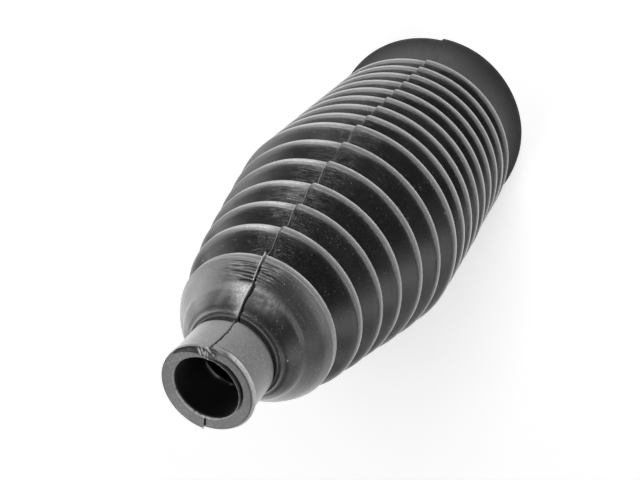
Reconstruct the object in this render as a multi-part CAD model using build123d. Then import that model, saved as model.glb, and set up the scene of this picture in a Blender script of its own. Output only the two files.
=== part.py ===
from build123d import *
import os

# Rubber bellows boot: one moulding, open at both ends. It stands on its large mouth, with +Z
# along its axis towards the small cuff. The origin is the centre of the mouth's end face.
# Stations along the axis are counted from the small cuff's end face, in the order of the folds.

# Small cuff, which grips a rod
small_bore_diameter = 14.0
small_cuff_wall = 2.6
small_cuff_length = 12.0    # end face to the foot of the cone
neck_groove_width = 1.6     # groove that parts the cuff from the cone
neck_groove_depth = 1.2

# Cone from the cuff up to the first crest
cone_length = 10.0
cone_rise = 8.2
cone_bulge = 0.8            # how far the cone swells past a straight one, midway

# Folds
wall = 1.6
land_width = 1.9
fold_depth = 4.6            # crests down to the root between them
front_fold_count = 6        # wide folds, on the taper
front_pitch = 8.0
front_lean = 0.75           # part of a wide fold's run that its front flank takes
taper_bulge = 0.5           # how far the taper's crests swell past a straight line, midway
rear_fold_count = 8         # narrow folds, all of one diameter
rear_pitch = 7.0
rear_lean = 0.5

# Large cuff, which grips a housing, and its flared mouth
large_bore_diameter = 46.0
large_cuff_wall = 2.1
large_crest_rise = 4.6      # crests above the large cuff's clip seat
clip_seat_length = 6.6
flare_length = 8.0
flare_rise = 4.9

# The mould's two halves closed out of line, so each fold has a step where they meet
mould_shift = 0.6

# The core stands past both ends of the boot, so that it opens them cleanly
core_overrun = 2.0

small_bore_radius = small_bore_diameter / 2
small_cuff_radius = small_bore_radius + small_cuff_wall
large_bore_radius = large_bore_diameter / 2
clip_seat_radius = large_bore_radius + large_cuff_wall
mouth_radius = clip_seat_radius + flare_rise

first_crest_radius = small_cuff_radius + cone_rise
last_crest_radius = clip_seat_radius + large_crest_rise
first_crest_station = small_cuff_length + cone_length + land_width / 2
rear_flank_slope = fold_depth / ((1 - rear_lean) * (rear_pitch - land_width))


def crests():
    """Each crest's station and radius, from the cone to the large cuff."""
    station = first_crest_station
    found = [(station, first_crest_radius)]
    for fold in range(1, front_fold_count + 1):
        share = fold / front_fold_count
        straight = first_crest_radius + share * (last_crest_radius - first_crest_radius)
        station += front_pitch
        found.append((station, straight + 4 * taper_bulge * share * (1 - share)))
    for fold in range(rear_fold_count):
        station += rear_pitch
        found.append((station, last_crest_radius))
    return found


def roots(rings):
    """Each root's station and radius, between one crest and the next."""
    found = []
    for fold, (crest, after) in enumerate(zip(rings, rings[1:])):
        lean = front_lean if fold < front_fold_count else rear_lean
        rear_edge = crest[0] + land_width / 2
        front_edge = after[0] - land_width / 2
        station = front_edge - lean * (front_edge - rear_edge)
        found.append((station, (crest[1] + after[1]) / 2 - fold_depth))
    return found


crest_rings = crests()
root_rings = roots(crest_rings)
last_crest_station = crest_rings[-1][0]
clip_seat_start = last_crest_station + land_width / 2 + large_crest_rise / rear_flank_slope
flare_start = clip_seat_start + clip_seat_length
overall_length = flare_start + flare_length

# The flare is an arc tangent to the clip seat, and its inner face runs parallel to the outer one
flare_radius = (flare_length**2 + flare_rise**2) / (2 * flare_rise)
inner_flare_radius = flare_radius + large_cuff_wall
flare_centre_radius = clip_seat_radius + flare_radius
inner_mouth_radius = flare_centre_radius - (inner_flare_radius**2 - flare_length**2) ** 0.5


def point(station, radius):
    """A point of the section, on the side of the axis where y is positive."""
    return (0, radius, overall_length - station)


def cone_line(station_shift, radius_shift):
    """The cone's swollen side, moved along and across the axis."""
    foot = (small_cuff_length + station_shift, small_cuff_radius + radius_shift)
    top = (foot[0] + cone_length, foot[1] + cone_rise)
    side = (cone_length**2 + cone_rise**2) ** 0.5
    middle = (
        (foot[0] + top[0]) / 2 - cone_bulge * cone_rise / side,
        (foot[1] + top[1]) / 2 + cone_bulge * cone_length / side,
    )
    return ThreePointArc(point(*foot), point(*middle), point(*top))


def flare_line(start_radius, arc_radius):
    """One face of the flare, from the large cuff to the mouth's end face."""
    half = flare_length / 2
    rise_at_half = arc_radius - (arc_radius**2 - half**2) ** 0.5
    rise_at_mouth = arc_radius - (arc_radius**2 - flare_length**2) ** 0.5
    return ThreePointArc(
        point(flare_start, start_radius),
        point(flare_start + half, start_radius + rise_at_half),
        point(overall_length, start_radius + rise_at_mouth),
    )


def outer_section():
    """Half the boot's section, filled in to the axis."""
    groove_start = small_cuff_length - neck_groove_width
    groove_radius = small_cuff_radius - neck_groove_depth
    cuff = [
        point(0, 0),
        point(0, small_cuff_radius),
        point(groove_start, small_cuff_radius),
        point(groove_start, groove_radius),
        point(small_cuff_length, groove_radius),
        point(small_cuff_length, small_cuff_radius),
    ]
    folds = []
    for (station, radius), root in zip(crest_rings, root_rings + [None]):
        folds += [point(station - land_width / 2, radius), point(station + land_width / 2, radius)]
        if root:
            folds.append(point(*root))
    folds += [point(clip_seat_start, clip_seat_radius), point(flare_start, clip_seat_radius)]
    mouth = [
        point(overall_length, mouth_radius),
        point(overall_length, 0),
        point(0, 0),
    ]
    return make_face(
        Polyline(*cuff)
        + cone_line(0, 0)
        + Polyline(*folds)
        + flare_line(clip_seat_radius, flare_radius)
        + Polyline(*mouth)
    )


def core_section():
    """Half the hollow's section: the outside again, one wall further in.

    A crest's land has an edge under it, and a root has a land of the crest's width, so the flanks
    inside run parallel to those outside.
    """
    neck = [
        point(-core_overrun, 0),
        point(-core_overrun, small_bore_radius),
        point(small_cuff_length, small_bore_radius),
        point(small_cuff_length + land_width / 2, small_cuff_radius - wall),
    ]
    folds = []
    for (station, radius), root in zip(crest_rings, root_rings + [None]):
        folds.append(point(station, radius - wall))
        if root:
            folds.append(point(root[0] - land_width / 2, root[1] - wall))
            folds.append(point(root[0] + land_width / 2, root[1] - wall))
    bore_start = last_crest_station + (last_crest_radius - wall - large_bore_radius) / rear_flank_slope
    folds += [point(bore_start, large_bore_radius), point(flare_start, large_bore_radius)]
    mouth = [
        point(overall_length, inner_mouth_radius),
        point(overall_length + core_overrun, inner_mouth_radius),
        point(overall_length + core_overrun, 0),
        point(-core_overrun, 0),
    ]
    return make_face(
        Polyline(*neck)
        + cone_line(land_width / 2, -wall)
        + Polyline(*folds)
        + flare_line(large_bore_radius, inner_flare_radius)
        + Polyline(*mouth)
    )


def moulded_outside():
    """The outside as the two mould halves leave it, one on each side of the plane x = 0."""
    half = revolve(outer_section(), Axis.Z, 180)
    other_half = Rot(0, 0, 180) * half
    return Pos(0, -mould_shift / 2, 0) * half + Pos(0, mould_shift / 2, 0) * other_half


def bellows_boot():
    return moulded_outside() - revolve(core_section(), Axis.Z, 360)


os.makedirs("parts", exist_ok=True)
export_step(bellows_boot(), "parts/bellows_boot.step")
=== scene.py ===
import math

import bmesh
import bpy
import numpy as np
from mathutils import Matrix, Vector


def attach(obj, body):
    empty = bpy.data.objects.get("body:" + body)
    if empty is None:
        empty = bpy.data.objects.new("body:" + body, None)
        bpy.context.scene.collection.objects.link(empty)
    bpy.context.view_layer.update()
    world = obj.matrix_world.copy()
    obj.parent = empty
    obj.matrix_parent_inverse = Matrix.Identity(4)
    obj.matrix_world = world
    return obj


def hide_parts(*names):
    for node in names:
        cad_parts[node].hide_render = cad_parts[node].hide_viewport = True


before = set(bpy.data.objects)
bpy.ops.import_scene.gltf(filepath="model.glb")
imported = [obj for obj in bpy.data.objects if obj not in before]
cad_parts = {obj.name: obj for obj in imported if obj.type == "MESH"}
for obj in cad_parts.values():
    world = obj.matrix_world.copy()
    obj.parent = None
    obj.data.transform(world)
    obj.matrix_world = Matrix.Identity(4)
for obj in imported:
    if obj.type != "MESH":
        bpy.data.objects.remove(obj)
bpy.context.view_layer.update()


# ---------------------------------------------------------------------------------------------
# The boot: one moulding of black rubber, with a small cuff, a cone, fifteen crests, a large cuff
# and a flared mouth. It was pressed in a two-part mould round a core, and stands on its mouth.

# Sizes are in millimetres. Stations run along the axis from the small cuff's end face.
MM = 0.001
boot_length = 145.05
bore_radius, cuff_radius, groove_radius = 7.0, 9.6, 8.4
groove_start, cone_start, cone_end = 10.4, 12.0, 22.0
cone_swell = 0.8
wall = 1.6
land_width = 1.9
neck_end = cone_start + land_width / 2
first_crest_radius, last_crest_radius = 17.8, 29.7
wide_folds, wide_pitch = 6, 8.0
narrow_folds, narrow_pitch = 8, 7.0
taper_swell = 0.5
seat_start, seat_end = 130.45, 137.05
seat_radius, housing_radius = 25.1, 23.0
inner_bore_start = 129.78
mouth_edge = boot_length - 0.35
mouth_radius, mouth_inner_radius = 30.0, 26.41
flare_swell, flare_inner_swell = -1.15, 0.95


def swollen(start, end, rise, count):
    """Points between two, on an arc that stands off the straight line by rise at its middle."""
    (s0, r0), (s1, r1) = start, end
    run = math.hypot(s1 - s0, r1 - r0)
    shares = [(i + 1) / (count + 1) for i in range(count)]
    return [
        (
            s0 + t * (s1 - s0) - 4 * rise * t * (1 - t) * (r1 - r0) / run,
            r0 + t * (r1 - r0) + 4 * rise * t * (1 - t) * (s1 - s0) / run,
        )
        for t in shares
    ]


# The plain ends of the section. Each row is a corner: its station and radius, its rounding, the
# longest step to the next point, and 1 where it is on the outside.
small_end = [
    (0, bore_radius, 0.08, 0.13, 0),
    (0, 8.0, 0, 0.17, 0),
    (0, 9.3, 0, 0.1, 1),
    (0, cuff_radius, 0.1, 0.13, 1),
    (1.6, cuff_radius, 0, 0.6, 1),
    (groove_start, cuff_radius, 0.18, 0.4, 1),
    (groove_start, groove_radius, 0.3, 0.5, 1),
    (cone_start, groove_radius, 0.2, 0.4, 1),
    (cone_start, cuff_radius, 0.25, 0.2, 1),
]
cone_side = swollen((cone_start, cuff_radius), (cone_end, first_crest_radius), cone_swell, 9)
creased_from = 16.5
small_end += [(s, r, 0, 0.3 if s < creased_from else 0.14, 1) for s, r in cone_side]

flare_outside = swollen((seat_end, seat_radius), (mouth_edge, mouth_radius), flare_swell, 6)
flare_inside = swollen(
    (boot_length, mouth_inner_radius), (seat_end, housing_radius), flare_inner_swell, 5
)
large_end = [(seat_start, seat_radius, 0.6, 1.2, 1), (seat_end, seat_radius, 0, 1.0, 1)]
large_end += [(s, r, 0, 1.2, 1) for s, r in flare_outside]
large_end += [
    (mouth_edge, mouth_radius, 0.15, 1.0, 1),
    (boot_length, mouth_radius - 0.2, 0.1, 1.0, 1),
    (boot_length, mouth_inner_radius, 0.35, 2.0, 0),
]
large_end += [(s, r, 0, 3.0, 0) for s, r in flare_inside]
large_end += [
    (seat_end, housing_radius, 0, 3.0, 0),
    (inner_bore_start, housing_radius, 0.4, 3.0, 0),
]

neck_inside = [
    (neck_end + s - cone_start, r - wall, 0, 2.0, 0) for s, r in reversed(cone_side[::2])
]
neck_inside += [(neck_end, cuff_radius - wall, 0, 2.0, 0), (cone_start, bore_radius, 1.0, 1.2, 0)]

# Where each run of corners starts in the order round the section. The inner folds run back from
# theirs, and the tree draws both runs of folds.
outer_folds_from, large_end_from, inner_folds_back_from, neck_from = 100, 200, 390, 400

section = bpy.data.meshes.new("boot_section")
corners, order = [], []
for first, run in ((0, small_end), (large_end_from, large_end), (neck_from, neck_inside)):
    corners += run
    order += range(first, first + len(run))
section.from_pydata([(row[1] * MM, 0, (boot_length - row[0]) * MM) for row in corners], [], [])
for name, values in (
    ("order", order),
    ("rounding", [row[2] * MM for row in corners]),
    ("spacing", [row[3] * MM for row in corners]),
    ("outside", [row[4] for row in corners]),
):
    section.attributes.new(name, "FLOAT", "POINT").data.foreach_set("value", values)

boot_shape = bpy.data.node_groups.new("boot_shape", "GeometryNodeTree")


class Size:
    """A number inside the tree. It adds, multiplies and compares there as it would on paper."""

    def __init__(self, socket):
        self.socket = socket

    def by(self, operation, *others):
        node = boot_shape.nodes.new("ShaderNodeMath")
        node.operation = operation
        boot_shape.links.new(self.socket, node.inputs[0])
        for place, other in enumerate(others, 1):
            if isinstance(other, Size):
                boot_shape.links.new(other.socket, node.inputs[place])
            else:
                node.inputs[place].default_value = other
        return Size(node.outputs[0])

    def __add__(self, other):
        return self.by("ADD", other)

    def __sub__(self, other):
        return self.by("SUBTRACT", other)

    def __mul__(self, other):
        return self.by("MULTIPLY", other)

    def __truediv__(self, other):
        return self.by("DIVIDE", other)

    def floor(self):
        return self.by("FLOOR")

    def over(self, other):
        """1 where this is more than the other, and 0 elsewhere."""
        return self.by("GREATER_THAN", other)

    def turned(self, switch, other):
        """This where the switch is 0, and the other where it is 1."""
        return self + (other - self) * switch


def add_node(kind, outlet=0, settings=(), **inlets):
    """A node of the tree. Inlets are named as in the tree, with _ for a space."""
    node = boot_shape.nodes.new(kind)
    for name, value in settings:
        setattr(node, name, value)
    for name, value in inlets.items():
        socket = node.inputs[name.replace("_", " ")]
        value = value.socket if isinstance(value, Size) else value
        if isinstance(value, bpy.types.NodeSocket):
            boot_shape.links.new(value, socket)
        else:
            socket.default_value = value
    return node.outputs[outlet]


def named(attribute):
    """What is stored on a point under that name."""
    as_number = [("data_type", "FLOAT")]
    return Size(add_node("GeometryNodeInputNamedAttribute", settings=as_number, Name=attribute))


def kept(geometry, attribute, value):
    """The geometry with one more value stored on its points."""
    return add_node(
        "GeometryNodeStoreNamedAttribute",
        settings=[("data_type", "FLOAT"), ("domain", "POINT")],
        Geometry=geometry, Name=attribute, Value=value,
    )


boot_shape.interface.new_socket("Geometry", in_out="INPUT", socket_type="NodeSocketGeometry")
boot_shape.interface.new_socket("Geometry", in_out="OUTPUT", socket_type="NodeSocketGeometry")
fold_sizes = {
    "Overall Length": boot_length * MM,
    "First Crest Station": (cone_end + land_width / 2) * MM,
    "First Crest Radius": first_crest_radius * MM,
    "Last Crest Radius": last_crest_radius * MM,
    "Taper Swell": taper_swell * MM,
    "Wide Folds": float(wide_folds),
    "Wide Pitch": wide_pitch * MM,
    "Wide Lean": 0.75,
    "Narrow Folds": float(narrow_folds),
    "Narrow Pitch": narrow_pitch * MM,
    "Narrow Lean": 0.5,
    "Land Width": land_width * MM,
    "Fold Depth": 4.6 * MM,
    "Wall": wall * MM,
    "Front Edge Rounding": 1.4 * MM,
    "Rear Edge Rounding": 0.3 * MM,
    "Root Rounding": 0.45 * MM,
    "Flank Step": 1.1 * MM,
    "Inside Step": 9.0 * MM,
    "Mould Shift": 0.6 * MM,
    "Columns": 200.0,
    "Crowding At Parting Line": 0.44,
}
for name in fold_sizes:
    boot_shape.interface.new_socket(name, in_out="INPUT", socket_type="NodeSocketFloat")
entry = boot_shape.nodes.new("NodeGroupInput")
size = {name: Size(entry.outputs[name]) for name in fold_sizes}


def crest(fold):
    """Station and radius of a crest, numbered from the cone."""
    wide = fold.by("MINIMUM", size["Wide Folds"])
    share = wide / size["Wide Folds"]
    narrow = (fold - size["Wide Folds"]).by("MAXIMUM", 0.0)
    station = size["First Crest Station"] + wide * size["Wide Pitch"]
    station = station + narrow * size["Narrow Pitch"]
    straight = size["First Crest Radius"].turned(share, size["Last Crest Radius"])
    return station, straight + size["Taper Swell"] * share * (share * -1.0 + 1.0) * 4.0


def root(fold):
    """Station and radius of the root that follows a crest."""
    (station, radius), (next_station, next_radius) = crest(fold), crest(fold + 1.0)
    lean = size["Wide Lean"].turned(fold.over(size["Wide Folds"] - 0.5), size["Narrow Lean"])
    front = next_station - size["Land Width"] * 0.5
    back = station + size["Land Width"] * 0.5
    return front - (front - back) * lean, (radius + next_radius) * 0.5 - size["Fold Depth"]


# Each fold has three corners, numbered 0 to 2. Outside they are the land's two edges and the root,
# and inside they are the crest's edge and the root's land.
fold_corners = 3.0
index = Size(add_node("GeometryNodeInputIndex"))
this_fold = (index / fold_corners + 0.001).floor()
corner = index - this_fold * fold_corners
crest_station, crest_radius = crest(this_fold)
root_station, root_radius = root(this_fold)
all_folds = size["Wide Folds"] + size["Narrow Folds"]
past_first = corner.over(0.5)
past_second = corner.over(1.5)


def fold_line(count, station, radius, **values):
    """A run of corners, with their values stored on them."""
    line = add_node("GeometryNodeMeshLine", Count=count)
    place = add_node("ShaderNodeCombineXYZ", X=radius, Z=size["Overall Length"] - station)
    line = add_node("GeometryNodeSetPosition", Geometry=line, Position=place)
    for attribute, value in values.items():
        line = kept(line, attribute, value)
    return line


edge_rounding = size["Front Edge Rounding"].turned(past_first, size["Rear Edge Rounding"])
outer_folds = fold_line(
    all_folds * fold_corners + 2.0,
    (crest_station + size["Land Width"] * (corner - 0.5)).turned(past_second, root_station),
    crest_radius.turned(past_second, root_radius),
    order=index + outer_folds_from,
    rounding=edge_rounding.turned(past_second, size["Root Rounding"]),
    spacing=size["Flank Step"],
    outside=1.0,
)
inner_folds = fold_line(
    all_folds * fold_corners + 1.0,
    crest_station.turned(past_first, root_station + size["Land Width"] * (corner - 1.5)),
    (crest_radius - size["Wall"]).turned(past_first, root_radius - size["Wall"]),
    order=index * -1.0 + inner_folds_back_from,
    rounding=0.0,
    spacing=size["Inside Step"],
    outside=0.0,
)
all_corners = boot_shape.nodes.new("GeometryNodeJoinGeometry")
for line in (entry.outputs["Geometry"], outer_folds, inner_folds):
    loose = add_node("GeometryNodeMeshToPoints", Mesh=line)
    boot_shape.links.new(loose, all_corners.inputs[0])

# The corners become one closed outline, are rounded, and get points between them
outline = add_node(
    "GeometryNodePointsToCurves", Points=all_corners.outputs[0], Weight=named("order")
)
outline = add_node("GeometryNodeSetSplineCyclic", Geometry=outline, Cyclic=True)
outline = add_node(
    "GeometryNodeFilletCurve",
    settings=[("mode", "POLY")],
    Curve=outline,
    Count=named("rounding").over(0.0) * (named("outside") + 1.0),
    Radius=named("rounding"),
    Limit_Radius=True,
)
position = add_node("GeometryNodeInputPosition")


def count_points(curve):
    on_curve = [("component", "CURVE")]
    return Size(add_node("GeometryNodeAttributeDomainSize", settings=on_curve, Geometry=curve))


point_count = count_points(outline)
next_position = add_node(
    "GeometryNodeFieldAtIndex",
    settings=[("data_type", "FLOAT_VECTOR")],
    Value=position,
    Index=(index + 1.0).by("MODULO", point_count),
)
to_next = boot_shape.nodes.new("ShaderNodeVectorMath")
to_next.operation = "DISTANCE"
boot_shape.links.new(position, to_next.inputs[0])
boot_shape.links.new(next_position, to_next.inputs[1])
outline = add_node(
    "GeometryNodeSubdivideCurve",
    Curve=outline,
    Cuts=(Size(to_next.outputs["Value"]) / named("spacing")).floor(),
)
row_count = count_points(outline)

# The skin: a grid with a row for each point of the outline and a column for each angle, closed
# both ways. The rows on the outside part by the mould's shift where its two halves met.
skin = add_node(
    "GeometryNodeMeshGrid", Vertices_X=row_count + 1.0, Vertices_Y=size["Columns"] + 1.0
)
row = ((index + 0.5) / (size["Columns"] + 1.0)).floor()
column = index - row * (size["Columns"] + 1.0)
outline_index = row.by("MODULO", row_count)


def along_outline(value, kind="FLOAT"):
    """What the outline has at this row of the skin."""
    return add_node(
        "GeometryNodeSampleIndex",
        settings=[("data_type", kind)],
        Geometry=outline, Value=value, Index=outline_index,
    )


turn = column / size["Columns"] * math.tau
around = turn + size["Crowding At Parting Line"] * (turn * 2.0).by("SINE")
row_place = boot_shape.nodes.new("ShaderNodeSeparateXYZ")
boot_shape.links.new(along_outline(position, "FLOAT_VECTOR"), row_place.inputs[0])
row_radius = Size(row_place.outputs["X"])
to_right = around.by("COSINE")
mould_half = to_right.over(0.0001) - 0.5
half_shift = mould_half * size["Mould Shift"] * Size(along_outline(named("outside")))
skin = add_node(
    "GeometryNodeSetPosition",
    Geometry=skin,
    Position=add_node(
        "ShaderNodeCombineXYZ",
        X=row_radius * to_right,
        Y=row_radius * around.by("SINE") + half_shift,
        Z=Size(row_place.outputs["Z"]),
    ),
)
skin = kept(skin, "outside", along_outline(named("outside")))
skin = kept(skin, "section_radius", row_radius)
skin = add_node("GeometryNodeMergeByDistance", Geometry=skin, Distance=0.002 * MM)
skin = add_node("GeometryNodeSetShadeSmooth", Geometry=skin)
skin = add_node("GeometryNodeRealizeInstances", Geometry=skin)
rubber = bpy.data.materials.new("black_rubber")
rubber.use_nodes = True
skin = add_node("GeometryNodeSetMaterial", Geometry=skin, Material=rubber)
leave = boot_shape.nodes.new("NodeGroupOutput")
boot_shape.links.new(skin, leave.inputs["Geometry"])

boot = bpy.data.objects.new("boot", section)
bpy.context.scene.collection.objects.link(boot)
moulding = boot.modifiers.new("moulding", "NODES")
moulding.node_group = boot_shape
for item in boot_shape.interface.items_tree:
    if item.in_out == "INPUT" and item.name in fold_sizes:
        moulding[item.identifier] = fold_sizes[item.name]
bpy.context.view_layer.update()
moulded = bpy.data.meshes.new_from_object(
    boot.evaluated_get(bpy.context.evaluated_depsgraph_get())
)
boot.modifiers.clear()
boot.data = moulded

shell = bmesh.new()
shell.from_mesh(moulded)
bmesh.ops.recalc_face_normals(shell, faces=shell.faces)
shell.to_mesh(moulded)
shell.free()


def of_vertices(source, field, width=1):
    """One value, or three, for each vertex of the moulding."""
    values = np.empty(len(moulded.vertices) * width)
    source.foreach_get(field, values)
    return values.reshape(-1, width) if width > 1 else values


def mark(name, values):
    """Stores a value on each vertex, for the finish to follow."""
    moulded.attributes.new(name, "FLOAT", "POINT").data.foreach_set("value", values)


def ramp(value, *rows):
    """Changes evenly from row to row. Each row is a place, and what the result is there."""
    places, results = zip(*rows)
    return np.interp(value, places, results)


# Station, section radius and angle stay those of the even moulding, and x follows the points as
# they are moved below. Angles are in degrees. The parting line at 90, where y is positive, counts
# as the boot's top, and +X as its right.
points = of_vertices(moulded.vertices, "co", 3) / MM
x = points[:, 0]
radius = of_vertices(moulded.attributes["section_radius"].data, "value") / MM
outside = of_vertices(moulded.attributes["outside"].data, "value")
normals = of_vertices(moulded.vertex_normals, "vector", 3)
station = boot_length - points[:, 2]
angle = np.degrees(np.arctan2(points[:, 1], points[:, 0]))
from_axis = np.stack([np.cos(np.radians(angle)), np.sin(np.radians(angle)), 0 * angle], 1)


def over_angles(start, end, fade=18.0):
    """1 from one angle to the other, and 0 beyond them, changing evenly over the fade."""
    rise = np.clip((angle - start) / fade + 0.5, 0, 1)
    return rise * np.clip((end - angle) / fade + 0.5, 0, 1)


def between(value, start, end, fade):
    """1 from start to end, and 0 beyond them, with a soft change of that length."""
    rise = np.clip((value - start) / fade + 0.5, 0, 1)
    fall = np.clip((end - value) / fade + 0.5, 0, 1)
    return rise * rise * (3 - 2 * rise) * fall * fall * (3 - 2 * fall)


def hump(distance, half_width):
    """1 in the middle, and 0 from half_width away."""
    return np.clip(1 - (distance / half_width) ** 2, 0, None) ** 2


# The finish follows how far a point is from the crests' sharp edges, in millimetres, and whether
# it lies on a crest's land
crest_number = np.arange(wide_folds + narrow_folds + 1)
wide_number = np.minimum(crest_number, wide_folds)
taper_share = wide_number / wide_folds
crest_stations = cone_end + land_width / 2 + wide_pitch * wide_number
crest_stations += narrow_pitch * (crest_number - wide_number)
crest_radii = first_crest_radius + taper_share * (last_crest_radius - first_crest_radius)
crest_radii += 4 * taper_swell * taper_share * (1 - taper_share)
front_edges = [(s - land_width / 2, r) for s, r in zip(crest_stations, crest_radii)]
front_edges += [(cone_start, cuff_radius), (boot_length - 0.2, mouth_radius - 0.1)]
rear_edges = [(s + land_width / 2, r) for s, r in zip(crest_stations, crest_radii)]
for name, edges in (("from_front_edge", front_edges), ("from_rear_edge", rear_edges)):
    mark(name, np.minimum.reduce([np.hypot(station - s, radius - r) for s, r in edges]))
nearest = np.abs(station[:, None] - crest_stations).argmin(1)
off_land = np.hypot(
    np.clip(np.abs(station - crest_stations[nearest]) - land_width / 2, 0, None),
    np.clip(crest_radii[nearest] - radius, 0, None),
)
on_land = np.clip(1 - off_land / 0.2, 0, 1) * outside
mark("on_land", on_land)

# The cuff and the cone are greyer, and a painted highlight lies on their left and on the narrow
# folds left of the parting line, with painted shade on the cone's right
painted_left_highlight = ramp(angle, (45, 0), (85, 0.14), (115, 0.24), (140, 0.7), (175, 0.9))
painted_left_highlight = painted_left_highlight * ramp(station, (0.3, 0), (0.9, 1), (10.2, 1), (10.6, 0))
painted_left_highlight += 0.36 * over_angles(138, 200, 24) * ramp(station, (12, 0), (13, 1), (20, 1), (22, 0))
mark("painted_left_highlight", painted_left_highlight * outside)
# Painted shade on the cone's right, and a painted highlight on the narrow folds' left
shaded_cone_right = over_angles(-60, 88) * (station > 12) * (station < 24)
greyer_with_painted_light = ramp(station, (0, 1), (11.5, 1), (12.5, 0.6), (22.2, 0.6), (24.5, 0), (145, 0))
greyer_with_painted_light = greyer_with_painted_light * (1 - 0.6 * shaded_cone_right)
lit_narrow_left = over_angles(98, 190, 12) * ramp(station, (66, 0), (76, 1), (126, 1), (129, 0))
greyer_with_painted_light += 0.55 * lit_narrow_left
mark("greyer_with_painted_light", greyer_with_painted_light)
wrap = np.stack([from_axis[:, 0], from_axis[:, 1], station + 1.7 * radius], 1)
moulded.attributes.new("wrap", "FLOAT_VECTOR", "POINT").data.foreach_set("vector", wrap.ravel())

# Marks that the mould left: a thin fin of rubber along the parting line with a gap beside it,
# creases in the cone where it was pulled off the core, and torn flash at the small end
mould_marks = np.random.default_rng(12)


def uneven(along, spacing, low=0.0, high=1.0):
    """A smooth random height, with a new value every spacing along."""
    levels = mould_marks.uniform(low, high, int(160 / spacing) + 3)
    place = np.clip(along + 2.0, 0, 158) / spacing
    first = place.astype(int)
    ease = place - first
    ease = ease * ease * (3 - 2 * ease)
    return levels[first] * (1 - ease) + levels[first + 1] * ease


# The parting line wanders a little to the right on the cuff and the cone. The fin stands just
# left of it, and the gap lies right of it.
fin_aside, gap_aside = 0.12, 0.05
wander = ramp(
    station,
    (0, 0), (1, 0.1), (4, 0.4), (7, 0.5), (10, 0.25), (12, 0.1),
    (14, 0.3), (16, 0.5), (18, 0.4), (20, 0.25), (22, 0.15), (24, 0),
)
on_top = (points[:, 1] > 0) & (outside > 0.5)
below = (points[:, 1] < 0) & (outside > 0.5)
wander = np.where(on_top, wander * np.exp(-((x / 3.0) ** 2)), 0.0)

fin_height = ramp(
    station,
    (0.0, 0.0), (0.3, 0.16), (5, 0.2), (10.0, 0.25), (12.2, 0.5), (13, 0.45),
    (16, 0.35), (19, 0.4), (22.0, 0.5), (23.0, 0.8), (23.7, 1.1), (24.2, 0.3),
    (30, 0.2), (50, 0.16), (130, 0.12), (140, 0.12), (145, 0.1),
)
fin_height = fin_height * uneven(station, 0.8, 0.65, 1.3)
fin_width = ramp(station, (0, 0.17), (12, 0.2), (15, 0.27), (21, 0.27), (24, 0.2), (60, 0.24))
fin_side = hump(x + fin_aside, fin_width)
fin = fin_height * fin_side
gap_depth = ramp(
    station,
    (0.0, 0.0), (0.5, 0.35), (10, 0.42), (11.9, 0.42), (13, 0.6), (15, 0.7),
    (20, 0.6), (22.2, 0.35), (24, 0.24), (30, 0.2), (50, 0.16), (145, 0.08),
)
gap_depth = gap_depth * uneven(station, 0.6, 0.6, 1.25)
gap_width = ramp(
    station,
    (0, 0.24), (5, 0.32), (12, 0.30), (14, 0.32), (17, 0.38), (20, 0.32), (23, 0.22), (30, 0.15),
)
gap_width = gap_width * uneven(station, 0.55, 0.55, 1.4)
gap_side = hump(x - gap_aside - gap_width, gap_width)
line_mark = np.where(on_top, fin - gap_depth * gap_side, 0.0)
under_fin_height, under_fin_width = 0.12, 0.2
line_mark += np.where(below, under_fin_height * hump(x, under_fin_width), 0.0)

# Webs of flash stand across the neck groove and the first valley
web_top = ramp(
    station, (10.3, 9.75), (12.1, 9.75), (23.8, 17.9), (25.6, 17.3), (28.0, 17.45), (28.4, 0)
)
in_groove = (station > 10.3) & (station < 12.1)
in_valley = (station > 23.8) & (station < 28.4)
web = np.clip(web_top - radius, 0, None) * hump(x + 0.10, 0.18)
web = np.where(on_top & (in_groove | in_valley), web, 0.0)

# Creases lie in the cone on both sides of the parting line, in a fine and a broad wave, and some
# of them are folded sharp
fine_crease, broad_crease = 0.62, 1.9
fine_depth, broad_depth = 0.05, 0.06
near_line = np.where(x < 0, np.exp(x / 3.4), np.exp(-x / 2.4)) * on_top
drift = 0.10 * x + 0.35 * uneven(x * 2 + 40, 1.7)
pulls = np.sin((station + 0.5 * drift) * math.tau / fine_crease) * fine_depth
pulls += np.sin((station + drift * 1.6) * math.tau / broad_crease + 1.1) * broad_depth
creases = pulls * near_line * between(station, 17.8, 21.6, 1.0)

# Each row is a fold: its station, its left and right end, half its width and its depth
folded = np.zeros(len(points))
for at, left, right, half_width, depth in (
    (17.75, -2.8, 0.2, 0.32, 0.20), (18.5, -2.4, -0.2, 0.22, 0.10),
    (19.15, -5.0, -0.2, 0.22, 0.12), (19.75, -3.2, -0.2, 0.18, 0.09),
    (20.25, -5.6, -0.2, 0.20, 0.12), (20.75, -4.0, -0.2, 0.18, 0.10),
    (21.2, -6.2, -0.2, 0.18, 0.10), (21.2, 0.9, 4.4, 0.20, 0.11),
    (20.75, 0.9, 3.2, 0.18, 0.10), (20.3, 0.9, 4.0, 0.20, 0.12),
    (19.8, 0.9, 2.6, 0.18, 0.09), (19.25, 0.9, 3.4, 0.20, 0.11),
    (18.7, 1.0, 2.6, 0.20, 0.09),
):
    line = at + 0.04 * x + 0.06 * np.sin(x * 1.3 + 3 * at)
    folded += depth * on_top * hump(station - line, half_width) * between(x, left, right, 1.5)
creases -= folded

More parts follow.
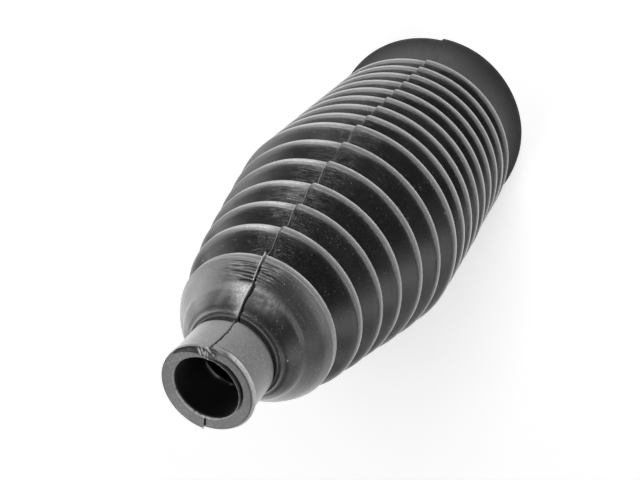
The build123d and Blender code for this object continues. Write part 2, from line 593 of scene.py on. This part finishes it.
# Nearer the cuff the cone is scuffed left of the line, and bulges a little
scuff_depth = uneven(station * 4 + x * 3.1, 1.3, -1, 1)
scuff_depth = scuff_depth * uneven(station * 3 - x * 4.3 + 60, 1.1, -1, 1)
scuff_reach = ramp(station, (12.6, 0.8), (14.0, 1.6), (15.5, 2.3), (17.0, 2.6))
scuffed_and_highlit = on_top * between(station, 12.5, 17.1, 1.8) * (x < -0.05)
scuffed_and_highlit = scuffed_and_highlit * np.exp(-((np.clip(-x - 0.4, 0, None) / scuff_reach) ** 2))
creases += 0.08 * scuff_depth * scuffed_and_highlit
bulge_height = 0.30
bulge = bulge_height * on_top * hump(station - 14.6, 2.6) * between(x, -4.6, 0.0, 2.2)

# A soft knee runs right round the cone, and a small bead stands at its foot
knee_station, knee_slant, knee_depth = 16.7, 0.6, 0.26
past_knee = station - knee_station - knee_slant * from_axis[:, 1]
knee = -knee_depth * hump(past_knee, np.where(past_knee < 0, 1.6, 3.6)) * (outside > 0.5)
foot = 0.16 * hump(station - 12.35, 0.35) - 0.10 * hump(station - 13.0, 0.4)
foot = np.where(outside > 0.5, foot, 0.0)

upright = normals * [0, 1, 1]
upright /= np.maximum(np.linalg.norm(upright, axis=1), 1e-6)[:, None]
points += upright * (line_mark + creases + bulge)[:, None]
points += from_axis * (web + knee + foot)[:, None]
points[:, 0] += wander

# The small cuff's end is drawn open a little on its lower left
open_side = np.clip(np.cos(np.radians(angle - 215)), 0, 1) * np.clip((1.6 - station) / 1.6, 0, 1)
opening = open_side * ramp(radius, (7.0, 0.2), (8.0, 0.06), (8.8, 0.06), (9.6, 0.12))
points += from_axis * opening[:, None]

# The right half of the mould stood proud there, so a bead shows behind the face's edge, with a
# slit before it, and the core's shoulder left a step round the upper right of the bore
at_end = station < 2.0
on_face = station < 0.2
right_side = between(angle, -75, 70, 26)
slit_depth, step_depth, tear_depth = 0.16, 0.8, 0.5
bead = at_end * (radius > 9.3) * hump(station - 0.95, 0.75) * (0.42 * right_side + 0.14)
slit = at_end * (radius > 9.4) * hump(station - 0.17, 0.13) * right_side
points += from_axis * (bead - slit_depth * slit)[:, None]
step_width = ramp(angle, (-28, 0.05), (-8, 0.28), (15, 0.72), (50, 0.90), (78, 0.5), (92, 0.05))
step = between(radius, 7.33, 7.24 + step_width, 0.09) * on_face * (radius < 8.6)
step = step * np.clip((step_width - 0.15) / 0.5, 0, 1)
points[:, 2] -= step_depth * step

# The bore's lip is uneven, and the face's edge is torn away left of the parting line
lip = on_face * hump(radius - 7.04, 0.14)
points[:, 2] -= lip * uneven(angle * 0.4 + 74, 0.8, -0.06, 0.05)
torn_from = ramp(angle, (98, 7.6), (104, 7.8), (120, 8.4), (141, 9.3))
torn = np.clip((radius - torn_from) / (9.7 - torn_from), 0, 1)
points[:, 2] -= tear_depth * on_face * between(angle, 98, 139, 8) * torn

# Shreds of torn flash lie across the face where the parting line meets it. Each row is one end,
# the other end and half the width.
shred_height = 0.18
shreds = np.zeros(len(points))
for start_x, start_y, end_x, end_y, half_width in (
    (-2.75, 9.3, -1.3, 7.5, 0.36), (-1.9, 9.45, -0.6, 7.6, 0.33),
    (-0.6, 7.6, -0.45, 9.6, 0.30), (-0.2, 9.6, 1.2, 8.5, 0.36),
    (-0.1, 8.5, 0.05, 7.1, 0.30),
):
    run_x, run_y = end_x - start_x, end_y - start_y
    from_x, from_y = x - start_x, points[:, 1] - start_y
    share = np.clip((from_x * run_x + from_y * run_y) / (run_x**2 + run_y**2), 0, 1)
    aside = np.hypot(from_x - share * run_x, from_y - share * run_y)
    shred = hump(aside, half_width) * (0.75 + 0.5 * np.sin(share * 7 + start_x))
    shreds = np.maximum(shreds, shred)
shreds = shreds * (station < 0.6)
points[:, 2] += shred_height * shreds

# A burr and a notch mark the other parting line on the face
burr_height, notch_depth = 0.16, 0.3
at_bottom = on_face * (points[:, 1] < 0) * (radius > 7.1)
burr = at_bottom * hump(x + 0.05, 0.2)
notch = at_bottom * hump(x - 0.28, 0.26)
points[:, 2] += burr_height * burr - notch_depth * notch

# Thin flash, lips and beads are paler, partly their own grey and partly a painted highlight on
# their lit edges; two spots of the throat get a painted glint, and the tops of the creases a
# painted highlight
lip_light = (station < 0.3) * np.clip((7.2 - radius) / 0.08, 0, 1)
lip_light = lip_light * uneven(angle * 0.4 + 74, 0.7, 0.5, 1.4)
fin_pale = ramp(station, (0, 1), (20, 1), (24, 0.9), (27, 0.5), (60, 0.4), (145, 0.3))
fin_pale = np.where(on_top, fin_side * fin_pale, 0.0) * uneven(station, 0.9, 0.6, 1.5)
bead_pale = 0.85 * at_end * (radius > 9.4) * between(station, 0.32, 1.5, 0.3) * right_side
throat_glint_highlight = between(angle, -150, -110, 16) + 0.8 * between(angle, -92, -86, 4)
throat_glint_highlight = (1 - outside) * hump(station - 11.9, 1.3) * throat_glint_highlight
pale_flash_and_highlight = np.maximum.reduce(
    [fin_pale, 1.6 * shreds, throat_glint_highlight, lip_light, bead_pale, burr, creases / 0.16 * on_top]
)

# Painted shade in gaps, slits and folds, under the shreds, in the groove, at the bore's step and
# notch, and inside
groove = between(station, groove_start + 0.05, cone_start - 0.05, 0.2) * outside
groove = groove * np.clip((9.62 - radius) / 0.3, 0, 1)
inner = (1 - outside) * between(station, 0.34, boot_length - 0.3, 0.12) * (radius < 29.5)
inner = inner * (1 - throat_glint_highlight)
gap_shade = ramp(station, (0, 0), (0.6, 1), (24, 1), (30, 0.85), (145, 0.5))
gap_shade = on_top * gap_side * gap_shade
shade_under_shreds = on_face * between(angle, 78, 108, 8) * np.clip((radius - 7.6) / 0.3, 0, 1)
shade_under_shreds = 0.5 * shade_under_shreds * np.clip(1 - 2 * shreds, 0, 1)
painted_shade = np.maximum.reduce(
    [gap_shade, shade_under_shreds, folded / 0.11, groove, inner, step, 0.8 * slit, 0.6 * notch]
)

# Lands get a painted highlight beside the parting line, and over a wider arc on the narrow folds
from_line = (angle - 100) / np.where(angle < 100, 7.0, 26.0)
land_highlight = on_land * np.exp(-(from_line**2)) * (station > 26)
land_highlight = land_highlight * ramp(station, (60, 1), (76, 0.6))
land_highlight_right = 0.22 * on_land * (station > 74) * over_angles(20, 110, 60)
narrow_part = ramp(station, (68, 0), (76, 1), (128, 1), (130, 0)) * outside
land_highlight_left = (0.03 + 0.42 * on_land) * narrow_part * over_angles(96, 190, 10)
land_highlight = np.maximum.reduce([land_highlight, land_highlight_right, land_highlight_left])

# The rubber is drawn beside the parting line, and wrinkled in patches under the crests, which get
# painted highlight and shade. Each row is the crest, the patch's left and right, how far it
# reaches down the flank and how strong it is.
drawn = np.exp(-np.abs(x) / 5.0) * on_top
pulled = np.zeros(len(points))
for crest_above, left, right, reach, strength in (
    (1, -4.0, -0.3, 1.6, 0.2), (2, -4.5, -0.3, 2.0, 0.3), (3, -4.4, -0.2, 2.8, 1.0),
    (3, -9.0, -0.2, 3.4, 0.3), (3, 0.3, 2.8, 2.2, 0.34), (4, -6.0, -0.3, 1.4, 0.4),
    (4, 0.3, 3.2, 2.0, 0.12), (5, 0.6, 6.0, 1.6, 0.14), (6, 0.6, 7.5, 1.4, 0.10),
    (0, 0.5, 5.0, 1.6, 0.4),
):
    under_edge = crest_stations[crest_above] - land_width / 2 - station
    patch = between(under_edge, 0.0, reach, 0.9) * between(x, left, right, 1.3) * on_top
    pulled = np.maximum(pulled, strength * patch)
# A painted highlight lies on the cone right of the parting line
painted_sheen_right = hump(station - 15.6, 2.4) * hump(angle - 72, 24) * (outside > 0.5) * (x > 0.5)
# Stored for the finish: paler flash with painted highlights, painted shade, and the painted
# highlights of the scuff, the lands and the wrinkles
for name, values in (
    ("pale_flash_and_highlight", pale_flash_and_highlight),
    ("painted_shade", painted_shade),
    ("scuffed_and_highlit", scuffed_and_highlit + 0.33 * painted_sheen_right),
    ("land_highlight", land_highlight),
    ("drawn", drawn),
    ("pulled", pulled),
    ("upper", ramp(station, (60, 1), (75, 0.5))),
    ("matte", ramp(station, (126, 0), (131, 1))),
):
    mark(name, np.clip(values, 0, 1))

# The folds don't stand quite evenly: some have opened or filled by half a millimetre
points[:, 2] -= ramp(
    station,
    (24, 0), (31, 0.6), (39, 0.5), (47, 0.2), (55, 0.4),
    (63, 0.3), (71, 0.05), (78, 0.2), (90, 0.2), (110, 0),
)
swell = ramp(station, (24, 0), (31, 0.5), (39, 0.35), (47, 0.1), (55, 0.25), (63, 0.2), (70, 0))
swell = swell * (1 - over_angles(122, 220, 16) * (station > 43))
swell += 0.35 * over_angles(5, 80, 26) * np.clip((station - 137) / 8, 0, 1)
swell -= 0.45 * over_angles(-70, 5, 26) * between(station, 104, 141, 12)
points += from_axis * swell[:, None]

# Nor is the boot quite straight or round: both its ends have sprung a millimetre to one side, and
# its body has been squeezed a little across the parting line
squeeze = ramp(station, (0, 0.0), (20, 0.003), (60, 0.007), (126, 0.011), (146, 0.0))
bend_x = ramp(
    station,
    (-1.0, 0.47), (0.0, 0.454), (10.0, 0.27), (20.0, 0.060), (32.0, -0.36), (45.0, -0.681),
    (60.0, -0.36), (75.0, 0.0), (130.0, 0.0), (139.0, -0.14), (145.1, -0.44),
)
bend_y = ramp(
    station,
    (-1.0, 1.13), (0.0, 1.107), (10.0, 0.87), (20.0, 0.636), (32.0, 0.22), (45.0, -0.181),
    (60.0, -0.12), (75.0, 0.0), (130.0, 0.0), (139.0, 0.36), (145.1, 1.085),
)
points[:, 0] = points[:, 0] * (1 + squeeze) + bend_x
points[:, 1] = points[:, 1] * (1 - squeeze) + bend_y
points[:, 2] = np.maximum(points[:, 2], 0)

moulded.vertices.foreach_set("co", (points * MM).astype(np.float32).ravel())
moulded.update()
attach(boot, "root")
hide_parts("bellows_boot")

# The rubber's finish: carbon black compound with a satin skin, a grey bloom that gathers unevenly,
# painted highlights on the crests' edges and elsewhere, painted shade in the gaps, and dust
paint = rubber.node_tree
paint.nodes.clear()


def paint_node(kind, outlet=0, settings=(), **inlets):
    """A node of the finish. Inlets are named as in the node, with _ for a space, or at0, at1."""
    node = paint.nodes.new(kind)
    for name, value in settings:
        setattr(node, name, value)
    for name, value in inlets.items():
        by_place = name.startswith("at") and name[2:].isdigit()
        socket = node.inputs[int(name[2:]) if by_place else name.replace("_", " ")]
        if isinstance(value, bpy.types.NodeSocket):
            paint.links.new(value, socket)
        else:
            socket.default_value = value
    return node.outputs[outlet]


def maths(operation, first, second=0.0):
    settings = [("operation", operation)]
    return paint_node("ShaderNodeMath", settings=settings, at0=first, at1=second)


def times(first, second):
    return maths("MULTIPLY", first, second)


def plus(first, second):
    return maths("ADD", first, second)


def fade(value, start, end, low=0.0, high=1.0):
    """Goes softly from low at start to high at end."""
    return paint_node(
        "ShaderNodeMapRange", settings=[("interpolation_type", "SMOOTHSTEP")],
        Value=value, From_Min=start, From_Max=end, To_Min=low, To_Max=high,
    )


def blend(share, first, second):
    """The first colour where the share is 0, and the second where it is 1."""
    settings = [("data_type", "RGBA")]
    return paint_node("ShaderNodeMix", 2, settings, at0=share, at6=first, at7=second)


def grey(level):
    return (level, level, level * 0.985, 1)


def marked(attribute):
    """A number that is stored on the boot's vertices."""
    return paint_node("ShaderNodeAttribute", outlet=2, settings=[("attribute_name", attribute)])


place_on_boot = paint_node("ShaderNodeTexCoord", outlet=3)
wrapped = paint_node("ShaderNodeAttribute", outlet=1, settings=[("attribute_name", "wrap")])


def mottle(scale, detail=3.0, rough=0.55):
    """Cloudy noise, its scale in patches to the metre."""
    return paint_node(
        "ShaderNodeTexNoise", Vector=place_on_boot, Scale=scale, Detail=detail, Roughness=rough
    )


def drawn_out(across, along, detail=3.0):
    """Noise that runs in streaks round the boot."""
    stretched = paint_node(
        "ShaderNodeVectorMath", settings=[("operation", "MULTIPLY")],
        at0=wrapped, at1=(across, across, along),
    )
    return paint_node(
        "ShaderNodeTexNoise", Vector=stretched, Scale=1.0, Detail=detail, Roughness=0.62
    )


# The skin is nearly black under a film of bloom. The two ends and the lands are greyer, the ends
# carrying painted highlight and shade.
film_black, bloom_black, streak_grey = grey(0.004), grey(0.010), grey(0.022)
cuff_grey, cuff_bloom, painted_left_highlight_grey = grey(0.05), grey(0.08), grey(0.50)
land_grey, land_bloom = grey(0.02), grey(0.045)
bloom = mottle(70, 5.0, 0.62)
film = fade(bloom, 0.36, 0.68)
greyer_and_lit = marked("greyer_with_painted_light")
streaks = drawn_out(5.0, 1.6)
colour = blend(film, film_black, bloom_black)
colour = blend(greyer_and_lit, colour, blend(film, cuff_grey, cuff_bloom))
# A painted highlight on the left of the cuff and the cone
painted_left_highlight_share = times(marked("painted_left_highlight"), fade(bloom, 0.30, 0.60, 0.7, 1.0))
colour = blend(painted_left_highlight_share, colour, painted_left_highlight_grey)
land = fade(marked("on_land"), 0.5, 0.9)
colour = blend(land, colour, blend(film, land_grey, land_bloom))
colour = blend(fade(streaks, 0.5, 0.75, 0.0, 0.35), colour, streak_grey)

# Beside the parting line it is drawn in hairs, and pulled into wrinkles with painted highlights on
# their tops and painted shade in their hollows, over a painted highlight on the patches
hair_grey, patch_highlight_grey = grey(0.045), grey(0.07)
wrinkle_highlight_grey, wrinkle_shade_black = grey(0.26), grey(0.003)
hairs = times(marked("drawn"), fade(drawn_out(9.0, 7.0, 2.0), 0.52, 0.72))
colour = blend(times(hairs, 0.15), colour, hair_grey)
wrinkles = drawn_out(9.0, 2.1, 2.0)
lit_patches = marked("pulled")
wrinkle_highlights = times(lit_patches, fade(wrinkles, 0.46, 0.60))
colour = blend(times(wrinkle_highlights, 0.8), colour, wrinkle_highlight_grey)
colour = blend(times(lit_patches, fade(wrinkles, 0.46, 0.38)), colour, wrinkle_shade_black)
colour = blend(fade(lit_patches, 0.5, 1.0, 0.0, 0.4), colour, patch_highlight_grey)

# The cone's side is scuffed, with a painted highlight on the scuff and on the cone's right, and
# the lands get a painted highlight at the line
scuff_highlight_grey, land_highlight_grey = grey(0.60), grey(0.60)
scratches = plus(times(drawn_out(30.0, 0.5), 0.5), times(mottle(800, 4.0, 0.7), 0.5))
# A painted highlight on the scuff and on the cone right of the parting line
scuff_highlights = times(marked("scuffed_and_highlit"), fade(scratches, 0.40, 0.58, 0.35, 1.0))
colour = blend(times(scuff_highlights, 0.95), colour, scuff_highlight_grey)
# A painted highlight on the lands at the parting line
land_highlight_share = times(marked("land_highlight"), fade(drawn_out(3.0, 2.2), 0.30, 0.55, 0.45, 1.0))
colour = blend(land_highlight_share, colour, land_highlight_grey)

# The crests' edges get painted highlights in uneven lines, with a painted reflection in front of
# them and a painted highlight rising across each land to its rear edge
edge_reflection_grey, land_slope_highlight_grey, front_highlight_grey, rear_highlight_grey = grey(0.08), grey(0.20), grey(0.26), grey(0.42)
from_front, from_rear = marked("from_front_edge"), marked("from_rear_edge")
wobble = times(maths("SUBTRACT", mottle(600, 3.0), 0.5), 0.22)
line_breaks = fade(mottle(150, 4.0), 0.3, 0.62, 0.5, 1.0)
front_edge_highlight = times(fade(plus(from_front, wobble), 0.26, 0.06), line_breaks)
rear_edge_highlight = times(fade(plus(from_rear, wobble), 0.85, 0.35), line_breaks)
edge_reflection = times(fade(from_front, 1.1, 0.1), fade(mottle(900, 3.0), 0.46, 0.62))
colour = blend(times(edge_reflection, 0.35), colour, edge_reflection_grey)
colour = blend(times(times(land, fade(from_rear, 1.7, 0.2)), 0.7), colour, land_slope_highlight_grey)
colour = blend(times(front_edge_highlight, 0.7), colour, front_highlight_grey)
colour = blend(times(rear_edge_highlight, marked("upper")), colour, rear_highlight_grey)

# Thin flash and lips are the palest, with the painted highlights on lips, beads, throat and crease
# tops
flash_and_highlight_grey = grey(0.58)
colour = blend(fade(marked("pale_flash_and_highlight"), 0.3, 0.9, 0.0, 0.9), colour, flash_and_highlight_grey)


def dust(scale, share, smallest, largest, level):
    """Specks, as many to the metre as the scale, in that share of the places for one."""
    astray = paint_node(
        "ShaderNodeVectorMath", settings=[("operation", "MULTIPLY_ADD")],
        at0=paint_node(
            "ShaderNodeTexNoise", outlet=1, Vector=place_on_boot, Scale=4.0 * scale, Detail=1.0
        ),
        at1=(0.16 / scale, 0.16 / scale, 0.16 / scale), at2=place_on_boot,
    )
    cells = paint.nodes.new("ShaderNodeTexVoronoi")
    cells.inputs["Scale"].default_value = scale
    paint.links.new(astray, cells.inputs["Vector"])
    chance = paint_node("ShaderNodeSeparateColor", Color=cells.outputs["Color"])
    speck_size = fade(chance, 1 - share, 1.0, smallest, largest)
    specks = fade(maths("SUBTRACT", cells.outputs["Distance"], speck_size), 0.02, -0.03)
    specks = times(specks, maths("GREATER_THAN", chance, 1 - share))
    return blend(times(specks, dusty), colour, grey(level))


# Dust in three sizes, less of it on the clean mouth and the folds than on the cuff, then a fine
# pale grain, and painted shade in the gaps, slits, folds and inside
mouth = marked("matte")
dusty = times(fade(mouth, 0.0, 1.0, 1.0, 0.15), fade(greyer_and_lit, 0.0, 0.25, 0.6, 1.0))
colour = dust(430.0, 0.20, 0.04, 0.095, 0.495)
colour = dust(760.0, 0.24, 0.04, 0.11, 0.225)
colour = dust(1200.0, 0.50, 0.08, 0.21, 0.102)
grain_grey, cuff_grain_grey, painted_gap_shade = grey(0.02), grey(0.17), grey(0.003)
gaps = marked("painted_shade")
fine = fade(mottle(2100, 2.0, 0.7), 0.52, 0.66, 0.0, 0.6)
colour = blend(fine, colour, blend(greyer_and_lit, grain_grey, cuff_grain_grey))
# Painted shade in the gaps, slits, folds and inside
colour = blend(fade(gaps, 0.15, 0.7), colour, painted_gap_shade)

# Satin on the folds, and matt at the mouth and in the gaps
roughness = plus(fade(bloom, 0.35, 0.7, 0.29, 0.38), times(mouth, 0.34))
roughness = plus(roughness, times(gaps, 0.3))
grain_height = plus(mottle(2200, 3.0, 0.6), times(streaks, 0.5))
grain_height = plus(grain_height, times(hairs, 1.2))
grain_height = plus(grain_height, times(times(lit_patches, wrinkles), 5.0))
grain = paint_node("ShaderNodeBump", Strength=0.4, Distance=0.06 * MM, Height=grain_height)

surface = paint.nodes.new("ShaderNodeBsdfPrincipled")
surface.inputs["IOR"].default_value = 1.7
surface.inputs["Sheen Weight"].default_value = 0.08
surface.inputs["Sheen Roughness"].default_value = 0.4
paint.links.new(colour, surface.inputs["Base Color"])
paint.links.new(roughness, surface.inputs["Roughness"])
paint.links.new(grain, surface.inputs["Normal"])
rubber_out = paint.nodes.new("ShaderNodeOutputMaterial")
paint.links.new(surface.outputs[0], rubber_out.inputs["Surface"])


# ---------------------------------------------------------------------------------------------
# The floor: a sheet of white paper under the boot, laid flat and far wider than it. It takes the
# boot's shadow, and it glows towards the camera and in reflections so that it stays white.

reach = 4.0
floor_corners = [(-reach, -reach, 0), (reach, -reach, 0), (reach, reach, 0), (-reach, reach, 0)]
floor_mesh = bpy.data.meshes.new("floor")
floor_mesh.from_pydata(floor_corners, [], [(0, 1, 2, 3)])
floor = bpy.data.objects.new("floor", floor_mesh)
bpy.context.scene.collection.objects.link(floor)
paper = bpy.data.materials.new("white_paper")
paper.use_nodes = True
floor_mesh.materials.append(paper)
sheet = paper.node_tree
sheet.nodes.clear()
matt = sheet.nodes.new("ShaderNodeBsdfDiffuse")
matt.inputs["Color"].default_value = (0.9, 0.9, 0.9, 1)
glow = sheet.nodes.new("ShaderNodeEmission")
glow.inputs["Color"].default_value = (1, 1, 1, 1)

# Its glow grows from the shadow's edge outwards
place_on_floor = sheet.nodes.new("ShaderNodeTexCoord")
away = sheet.nodes.new("ShaderNodeVectorMath")
away.operation = "LENGTH"
sheet.links.new(place_on_floor.outputs["Object"], away.inputs[0])
far_light = sheet.nodes.new("ShaderNodeMapRange")
for name, value in (("From Min", 0.2), ("From Max", 0.9), ("To Min", 0.48), ("To Max", 1.0)):
    far_light.inputs[name].default_value = value
sheet.links.new(away.outputs["Value"], far_light.inputs["Value"])
ray = sheet.nodes.new("ShaderNodeLightPath")
lift = sheet.nodes.new("ShaderNodeMath")
lift.operation = "MULTIPLY_ADD"
sheet.links.new(ray.outputs["Is Camera Ray"], lift.inputs[0])
sheet.links.new(far_light.outputs[0], lift.inputs[1])
sheet.links.new(ray.outputs["Is Glossy Ray"], lift.inputs[2])
sheet.links.new(lift.outputs[0], glow.inputs["Strength"])
both = sheet.nodes.new("ShaderNodeAddShader")
sheet.links.new(matt.outputs[0], both.inputs[0])
sheet.links.new(glow.outputs[0], both.inputs[1])
paper_out = sheet.nodes.new("ShaderNodeOutputMaterial")
sheet.links.new(both.outputs[0], paper_out.inputs["Surface"])


# ---------------------------------------------------------------------------------------------
# The camera: it stands 0.2 m from the small cuff, above it and on the side of the parting line,
# and is turned so that the boot leans to the right.

lens = bpy.data.cameras.new("camera")
lens.lens = 52.609
lens.sensor_width = 36.0
lens.clip_start, lens.clip_end = 0.01, 20
camera = bpy.data.objects.new("camera", lens)
bpy.context.scene.collection.objects.link(camera)
camera.matrix_world = Matrix(
    (
        (0.91548265, -0.28748945, 0.28149838, 0.062184),
        (0.11240713, 0.85450929, 0.50712771, 0.117730),
        (-0.38633685, -0.43262419, 0.81460429, 0.269073),
        (0, 0, 0, 1),
    )
)
bpy.context.scene.camera = camera


# ---------------------------------------------------------------------------------------------
# The lamps: soft boxes on stands all round the boot and one over it, facing its middle. Low ones
# draw the lands and flanks, and the room beyond them is dim.

lamp_distance = 0.9
lamps_aim = Vector((0, 0, 0.08))


def soft_lamp(name, toward, width, height, level):
    """A square soft box that faces the middle of the boot, as bright all over as its level."""
    light = bpy.data.lights.new(name, "AREA")
    light.shape = "RECTANGLE"
    light.size, light.size_y = width, height
    light.energy = level * math.pi * width * height
    lamp = bpy.data.objects.new(name, light)
    bpy.context.scene.collection.objects.link(lamp)
    toward = Vector(toward).normalized()
    lamp.location = lamps_aim + toward * lamp_distance
    lamp.rotation_mode = "QUATERNION"
    lamp.rotation_quaternion = toward.to_track_quat("Z", "Y")
    return lamp


def compass(azimuth, height):
    """A direction from the boot: azimuth 0 is along +X and 90 along +Y, both in degrees."""
    turn_to, rise = math.radians(azimuth), math.radians(height)
    return (
        math.cos(turn_to) * math.cos(rise), math.sin(turn_to) * math.cos(rise), math.sin(rise)
    )


for name, toward, width, height, level in (
    ("left_wall", compass(168, 6), 0.70, 0.26, 3.0),
    ("back_wall", compass(112, 4), 0.90, 0.20, 8.0),
    ("right_wall", compass(24, 4), 0.95, 0.18, 3.0),
    ("right", compass(342, 26), 0.40, 0.40, 1.5),
    ("front_wall", compass(313, 11), 0.46, 0.30, 0.9),
    ("end_face", (-0.34, -0.63, 0.70), 0.36, 0.36, 3.0),
):
    soft_lamp(name, toward, width, height, level)
overhead = soft_lamp("overhead", compass(84, 52), 0.45, 0.45, 6.0)
overhead.visible_glossy = False

# The room is dim on the boot and white behind it
world = bpy.data.worlds.new("studio")
bpy.context.scene.world = world
world.use_nodes = True
room = world.node_tree
walls = room.nodes["Background"]
walls.inputs["Color"].default_value = (1, 1, 1, 1)
room_ray = room.nodes.new("ShaderNodeLightPath")
room_level = room.nodes.new("ShaderNodeMapRange")
room_level.inputs["To Min"].default_value = 0.055
room_level.inputs["To Max"].default_value = 1.0
room.links.new(room_ray.outputs["Is Camera Ray"], room_level.inputs["Value"])
room.links.new(room_level.outputs[0], walls.inputs["Strength"])
bpy.context.scene.view_settings.view_transform = "Standard"
